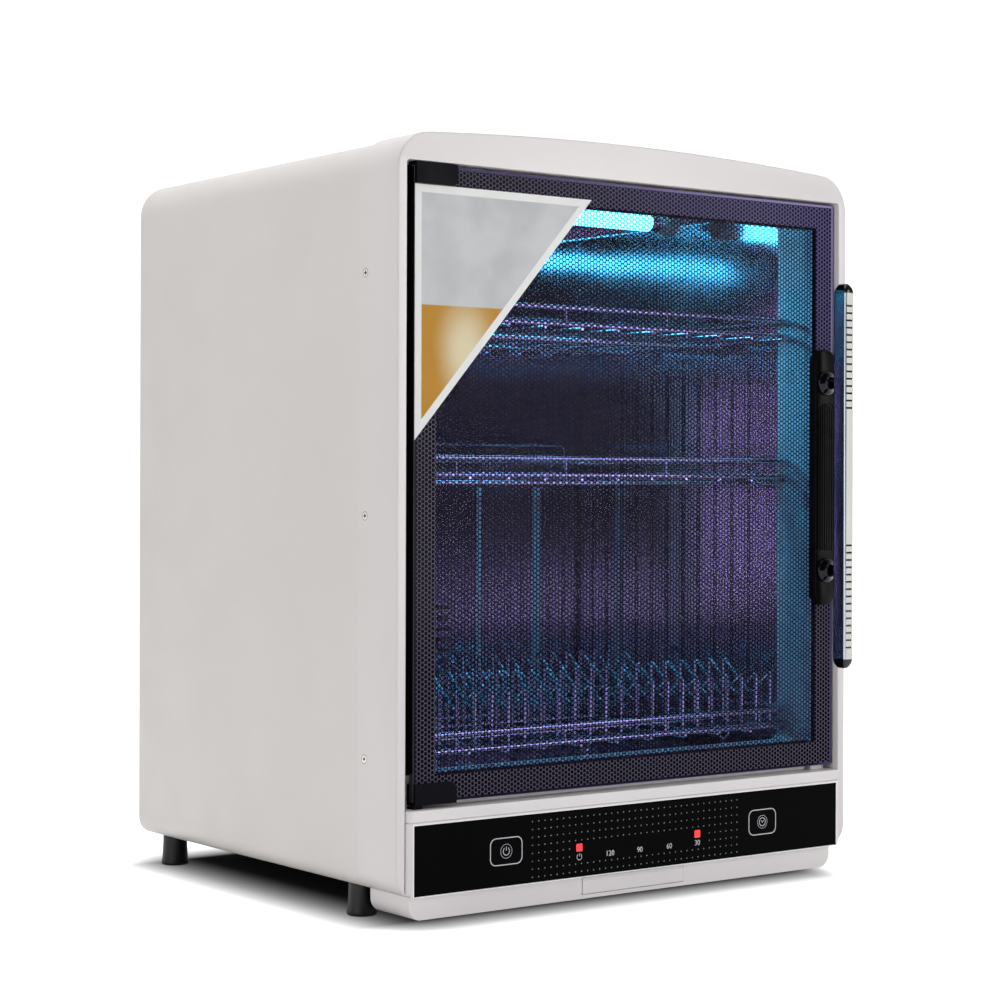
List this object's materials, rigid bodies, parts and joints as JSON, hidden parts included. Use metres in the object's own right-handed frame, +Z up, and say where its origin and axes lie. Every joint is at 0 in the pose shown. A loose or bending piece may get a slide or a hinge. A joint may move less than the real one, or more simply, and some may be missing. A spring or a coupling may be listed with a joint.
{
  "type": "uv dish dryer cabinet",
  "caption": "Countertop ultraviolet dish dryer cabinet with a hinged glass door and bar handle, sliding wire racks, a lamp, a warm-air blower and a drip tray drawer.",
  "frame": {"origin": "centre of the bounding box on the floor, under the feet", "axes": "+X to the right seen from the front, +Y towards the back, +Z up"},
  "size_m": [0.47, 0.4452, 0.6103],
  "materials": {
    "casing_paint": "satin",
    "frame_plastic": "satin",
    "housing_plastic": "satin",
    "panel_black": "gloss",
    "door_glass": "gloss",
    "seal_rubber": "matte",
    "film": "satin",
    "stainless": "brushed",
    "wire_chrome": "polished",
    "zinc_steel": "plain",
    "hinge_chrome": "polished",
    "lamp_glass": "gloss",
    "black_plastic": "matte",
    "handle_black": "gloss",
    "handle_light": "gloss",
    "knob_chrome": "polished",
    "foot_rubber": "matte",
    "white_plastic": "matte",
    "light_red": "gloss",
    "board_green": "matte",
    "mirror_alu": "polished",
    "drain_plastic": "matte"
  },
  "bodies": {
    "cabinet": {"front_frame": "frame_plastic", "control_housing": "housing_plastic", "control_glass": "panel_black", "indicator_lights": "light_red", "touch_pads": "zinc_steel", "control_board": "board_green", "outer_casing": "casing_paint", "rear_panel": "zinc_steel", "bottom_plate": "zinc_steel", "feet": "foot_rubber", "plinth": "housing_plastic", "tray_guides": "zinc_steel", "drain_spout": "drain_plastic", "liner": "stainless", "liner_supports": "zinc_steel", "rack_rails": "stainless", "uv_lamp": "lamp_glass", "lamp_holders": "white_plastic", "lamp_reflector": "mirror_alu", "thermal_cutout": "black_plastic", "fan_housing": "black_plastic", "fan_motor": "black_plastic", "air_duct": "zinc_steel", "heater": "mirror_alu", "ballast": "zinc_steel", "power_board": "board_green", "door_switch": "black_plastic", "magnet_catch": "white_plastic", "upper_pivot_bush": "black_plastic", "lower_pivot_bush": "black_plastic", "side_brackets": "zinc_steel", "cord_gland": "black_plastic"},
    "door": {"door_glass": "door_glass", "door_seal": "seal_rubber", "door_label": "film", "upper_hinge_clamp": "handle_black", "lower_hinge_clamp": "handle_black", "hinge_pins": "hinge_chrome", "handle_base": "handle_black", "handle_posts": "knob_chrome", "handle_bar": "handle_black", "handle_inlay": "handle_light", "handle_caps": "handle_black", "magnet_strike": "zinc_steel"},
    "upper_rack_body": {"upper_rack": "wire_chrome"},
    "middle_rack_body": {"middle_rack": "wire_chrome"},
    "plate_rack_body": {"plate_rack": "wire_chrome", "plate_dividers": "wire_chrome"},
    "tray_body": {"drip_tray": "housing_plastic"},
    "plunger_body": {"switch_plunger": "white_plastic"},
    "fan_rotor": {"fan_impeller": "black_plastic"}
  },
  "joints": [
    {"name": "door_hinge", "type": "hinge", "parent": "cabinet", "child": "door", "pos_m": [-0.213, -0.18335, 0.3373], "axis": [0, 0, -1], "range_deg": [0, 110]},
    {"name": "upper_rack_slide", "type": "slide", "parent": "cabinet", "child": "upper_rack_body", "axis": [0, -1, 0], "range_m": [0, 0.032]},
    {"name": "middle_rack_slide", "type": "slide", "parent": "cabinet", "child": "middle_rack_body", "axis": [0, -1, 0], "range_m": [0, 0.032]},
    {"name": "plate_rack_slide", "type": "slide", "parent": "cabinet", "child": "plate_rack_body", "axis": [0, -1, 0], "range_m": [0, 0.032]},
    {"name": "tray_slide", "type": "slide", "parent": "cabinet", "child": "tray_body", "axis": [0, -1, 0], "range_m": [0, 0.07]},
    {"name": "plunger_slide", "type": "slide", "parent": "cabinet", "child": "plunger_body", "axis": [0, -1, 0], "range_m": [0, 0.0025]},
    {"name": "fan_spin", "type": "hinge", "parent": "cabinet", "child": "fan_rotor", "pos_m": [0, 0.20005, 0.19], "axis": [0, 1, 0], "continuous": true}
  ],
  "couplings": [
    {"joint": "upper_rack_slide", "follows": "door_hinge", "m_per_rad": 0.0165},
    {"joint": "middle_rack_slide", "follows": "door_hinge", "m_per_rad": 0.0165},
    {"joint": "plate_rack_slide", "follows": "door_hinge", "m_per_rad": 0.0165},
    {"joint": "plunger_slide", "follows": "door_hinge", "m_per_rad": 0.0013}
  ]
}
